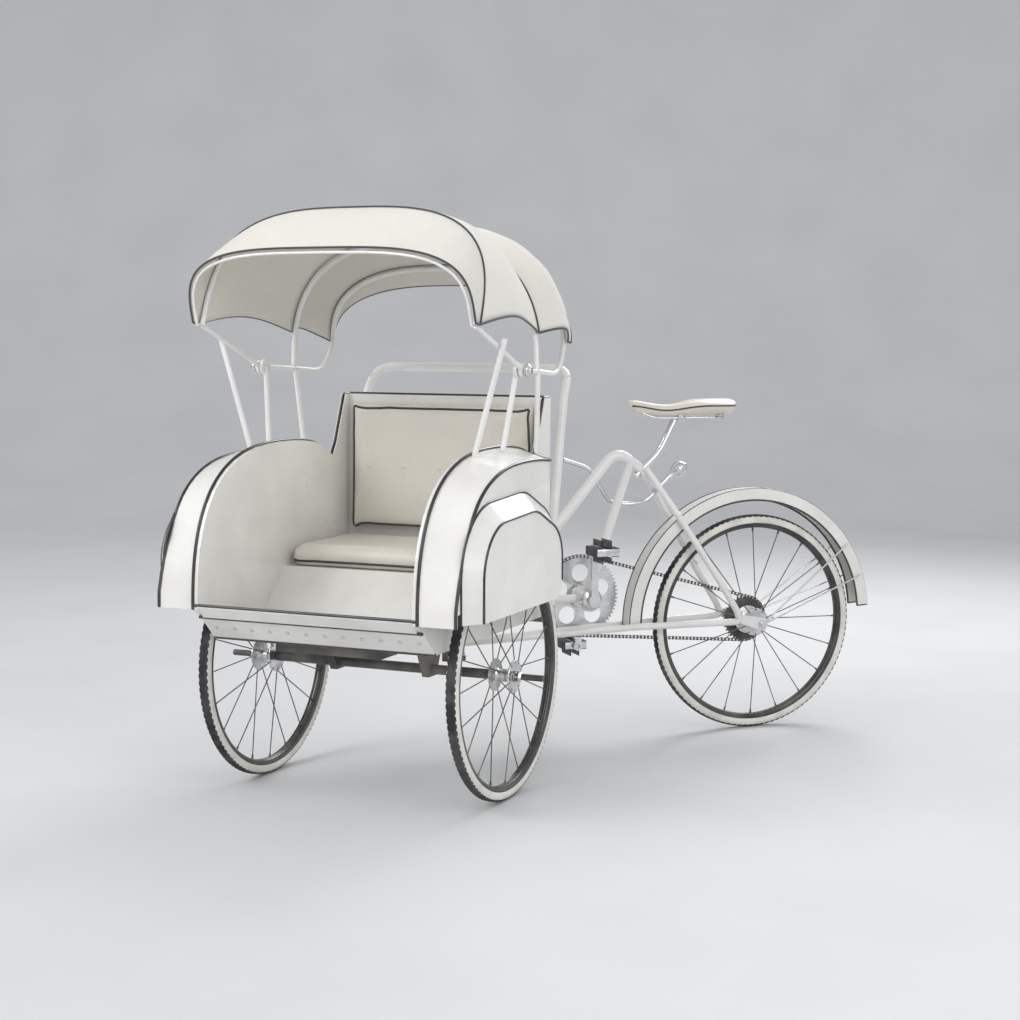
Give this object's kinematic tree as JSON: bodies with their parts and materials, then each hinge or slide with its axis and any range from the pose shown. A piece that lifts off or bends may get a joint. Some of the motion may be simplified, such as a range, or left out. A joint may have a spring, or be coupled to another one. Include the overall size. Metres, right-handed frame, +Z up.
{
  "type": "cycle rickshaw",
  "caption": "Cycle rickshaw with a hooded passenger bench over the front axle, pushed by a pedalled rear half that steers about an upright pin.",
  "frame": {"origin": "middle of the front axle; the ground is one wheel radius, 0.355 m, below it", "axes": "+Z up, -Y towards the passenger's view and the front of the vehicle, +X towards the vehicle's left along the front axle"},
  "size_m": [1.5645, 1.9718, 1.6605],
  "materials": {
    "body_enamel": "gloss",
    "trim_enamel": "gloss",
    "frame_enamel": "gloss",
    "dark_steel": "satin",
    "bright_steel": "polished",
    "rim_steel": "polished",
    "chain_steel": "satin",
    "tyre": "matte",
    "vinyl": "satin",
    "saddle_cover": "satin",
    "canvas": "matte",
    "pedal_rubber": "matte"
  },
  "bodies": {
    "carriage": {"front_axle": "dark_steel", "chassis": "dark_steel", "floor_pan": "body_enamel", "nose_strip": "trim_enamel", "side_panel_left": "body_enamel", "side_panel_right": "body_enamel", "rear_panel": "body_enamel", "seat_base": "body_enamel", "seat_cushion": "vinyl", "backrest_pad": "vinyl", "wing_left": "body_enamel", "wing_right": "body_enamel", "wheel_cover_left": "body_enamel", "wheel_cover_right": "body_enamel", "push_rail": "frame_enamel", "hood_stays_left": "frame_enamel", "hood_stays_right": "frame_enamel", "hood_rear_frame": "frame_enamel", "hood_rear_panel": "canvas", "hood_back_valance": "canvas"},
    "hood_front": {"hood_front_frame": "frame_enamel", "hood_visor": "canvas", "hood_top": "canvas"},
    "front_left_wheel": {"front_left_tyre": "tyre", "front_left_rim": "trim_enamel", "front_left_spokes": "dark_steel", "front_left_hub": "rim_steel"},
    "front_right_wheel": {"front_right_tyre": "tyre", "front_right_rim": "trim_enamel", "front_right_spokes": "dark_steel", "front_right_hub": "rim_steel"},
    "rear_half": {"rear_frame": "frame_enamel", "stay_loop": "frame_enamel", "rear_spindle": "bright_steel", "rear_mudguard": "body_enamel", "mudguard_wires": "bright_steel", "seat_post": "bright_steel", "saddle": "saddle_cover", "brake_lever": "bright_steel", "chain": "chain_steel"},
    "rear_wheel": {"rear_tyre": "tyre", "rear_rim": "trim_enamel", "rear_spokes": "dark_steel", "rear_hub": "rim_steel", "rear_sprocket": "dark_steel"},
    "crank": {"crankset": "bright_steel"},
    "left_pedal_body": {"left_pedal": "pedal_rubber"},
    "right_pedal_body": {"right_pedal": "pedal_rubber"}
  },
  "joints": [
    {"name": "steering", "type": "hinge", "parent": "carriage", "child": "rear_half", "pos_m": [0, 0.489, 0], "axis": [0, 0, 1], "range_deg": [-9, 101]},
    {"name": "front_left_spin", "type": "hinge", "parent": "carriage", "child": "front_left_wheel", "pos_m": [0.3875, 0, 0], "axis": [1, 0, 0], "continuous": true},
    {"name": "front_right_spin", "type": "hinge", "parent": "carriage", "child": "front_right_wheel", "pos_m": [-0.3875, 0, 0], "axis": [1, 0, 0], "continuous": true},
    {"name": "rear_spin", "type": "hinge", "parent": "rear_half", "child": "rear_wheel", "pos_m": [0.73732, 1.20103, 0], "axis": [0.6947, -0.7193, 0], "continuous": true},
    {"name": "crank_spin", "type": "hinge", "parent": "rear_half", "child": "crank", "pos_m": [0.31291, 0.79118, 0.105], "axis": [0.6947, -0.7193, 0], "continuous": true},
    {"name": "left_pedal_spin", "type": "hinge", "parent": "crank", "child": "left_pedal_body", "pos_m": [0.37057, 0.73147, 0.273], "axis": [0.6947, -0.7193, 0], "continuous": true},
    {"name": "right_pedal_spin", "type": "hinge", "parent": "crank", "child": "right_pedal_body", "pos_m": [0.25526, 0.85088, -0.063], "axis": [0.6947, -0.7193, 0], "continuous": true},
    {"name": "hood_fold", "type": "hinge", "parent": "carriage", "child": "hood_front", "pos_m": [0, 0.039, 0.856], "axis": [-1, 0, 0], "range_deg": [0, 28], "deforming": ["hood_top"]}
  ]
}
